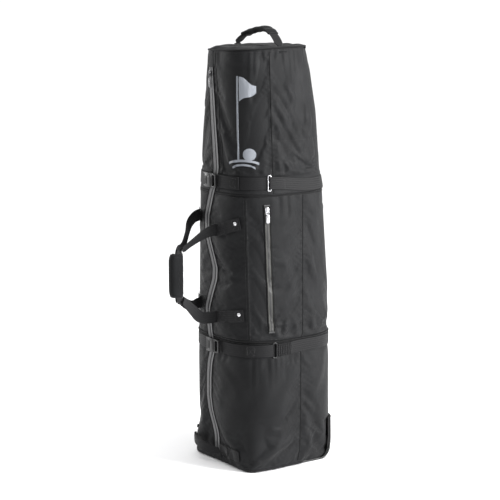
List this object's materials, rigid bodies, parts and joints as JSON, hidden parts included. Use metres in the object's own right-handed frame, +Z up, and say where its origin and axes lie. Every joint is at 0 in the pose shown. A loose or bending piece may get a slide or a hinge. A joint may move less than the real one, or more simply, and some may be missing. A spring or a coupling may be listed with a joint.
{
  "type": "golf travel case",
  "caption": "Tall soft-sided golf travel case standing upright on a wheeled base, with a padded hood, a winding front zip, compression straps and webbing carry handles.",
  "frame": {"origin": "on the floor under the middle of the base, at the moulded wheel base's underside", "axes": "+Z up, -Y the front with the main zip, +Y the back with the wheels, +X the side with the pocket"},
  "size_m": [0.3642, 0.5181, 1.3525],
  "materials": {
    "polyester": "woven polyester with a faint sheen",
    "webbing": "ribbed webbing",
    "binding": "bound piping",
    "zip_tape": "knitted tape with a moulded coil",
    "plastic": "matt moulded plastic",
    "metal": "bright plated metal",
    "rubber": "smooth tread",
    "foam": "foam faced with cloth",
    "board": "stiff sheet"
  },
  "bodies": {
    "case": {"lower_front_right": "polyester", "lower_front_left": "polyester", "middle_front_right": "polyester", "middle_front_left": "polyester", "middle_side_left": "polyester", "middle_back": "polyester", "hood_front_right": "polyester", "hood_front_left": "polyester", "hood_back": "polyester", "middle_side_right": "polyester", "lower_back": "polyester", "top_panel": "polyester", "lower_seam_piping": "binding", "upper_seam_piping": "binding", "top_piping": "binding", "main_zip_right": "zip_tape", "main_zip_left": "zip_tape", "pocket_zip_front": "zip_tape", "pocket_zip_rear": "zip_tape", "upper_buckle_socket": "plastic", "upper_strap_front": "webbing", "upper_strap_band": "webbing", "upper_strap_ring": "metal", "lower_buckle_socket": "plastic", "lower_strap_front": "webbing", "lower_strap_band": "webbing", "lower_strap_loop": "plastic", "carry_anchor_upper_right": "webbing", "carry_rivet_upper_right": "metal", "carry_anchor_lower_right": "webbing", "carry_rivet_lower_right": "metal", "carry_anchor_upper_left": "webbing", "carry_rivet_upper_left": "metal", "carry_anchor_lower_left": "webbing", "carry_rivet_lower_left": "metal", "wheel_base": "plastic", "base_panel": "board", "front_foot": "rubber", "back_board": "board", "hood_foam_liner": "foam", "wheel_axle_right": "metal", "wheel_axle_left": "metal"},
    "wheel_right": {"wheel_tyre_right": "rubber", "wheel_hub_right": "plastic", "wheel_bearing_right": "metal"},
    "wheel_left": {"wheel_tyre_left": "rubber", "wheel_hub_left": "plastic", "wheel_bearing_left": "metal"},
    "main_slider": {"main_zip_slider": "metal"},
    "main_pull": {"main_zip_pull": "metal"},
    "pocket_slider": {"pocket_zip_slider": "metal"},
    "pocket_pull": {"pocket_zip_pull": "metal"},
    "upper_plug": {"upper_buckle_plug": "plastic"},
    "lower_plug": {"lower_buckle_plug": "plastic"},
    "carry_right": {"carry_loop_right": "webbing", "carry_grip_wrap": "webbing"},
    "carry_left": {"carry_loop_left": "webbing"},
    "top_handle": {"top_handle_webbing": "webbing", "top_handle_wrap": "webbing"},
    "bottom_handle": {"bottom_handle": "webbing"}
  },
  "joints": [
    {"name": "wheel_right_spin", "type": "hinge", "parent": "case", "child": "wheel_right", "pos_m": [0.118, 0.138, 0.0335], "axis": [1, 0, 0], "continuous": true},
    {"name": "wheel_left_spin", "type": "hinge", "parent": "case", "child": "wheel_left", "pos_m": [-0.118, 0.138, 0.0335], "axis": [1, 0, 0], "continuous": true},
    {"name": "main_zip_slide", "type": "slide", "parent": "case", "child": "main_slider", "axis": [0.1673, -0.0489, -0.9847], "range_m": [0, 0.245]},
    {"name": "main_pull_hinge", "type": "hinge", "parent": "main_slider", "child": "main_pull", "pos_m": [-0.04375, -0.17055, 1.21111], "axis": [-0.9859, 0, -0.1675], "range_deg": [0, 120]},
    {"name": "pocket_zip_slide", "type": "slide", "parent": "case", "child": "pocket_slider", "axis": [0.0374, 0.0268, -0.9989], "range_m": [0, 0.36]},
    {"name": "pocket_pull_hinge", "type": "hinge", "parent": "pocket_slider", "child": "pocket_pull", "pos_m": [0.16223, -0.09917, 0.811], "axis": [-0.2401, -0.9701, -0.0351], "range_deg": [0, 120]},
    {"name": "upper_buckle_slide", "type": "slide", "parent": "case", "child": "upper_plug", "axis": [1, 0, 0], "range_m": [0, 0.03]},
    {"name": "lower_buckle_slide", "type": "slide", "parent": "case", "child": "lower_plug", "axis": [1, 0, 0], "range_m": [0, 0.03]},
    {"name": "carry_right_hinge", "type": "hinge", "parent": "case", "child": "carry_right", "pos_m": [0.022, -0.18716, 0.608], "axis": [0, 0, 1], "range_deg": [0, 85]},
    {"name": "carry_left_hinge", "type": "hinge", "parent": "case", "child": "carry_left", "pos_m": [-0.082, -0.18003, 0.634], "axis": [0, 0, 1], "range_deg": [-85, 0]},
    {"name": "top_handle_hinge", "type": "hinge", "parent": "case", "child": "top_handle", "pos_m": [-0.002, -0.017, 1.295], "axis": [1, 0, 0], "range_deg": [-45, 45]},
    {"name": "bottom_handle_hinge", "type": "hinge", "parent": "case", "child": "bottom_handle", "pos_m": [-0.062, -0.16962, 0.054], "axis": [0.9977, -0.0677, 0], "range_deg": [-60, 35]}
  ]
}
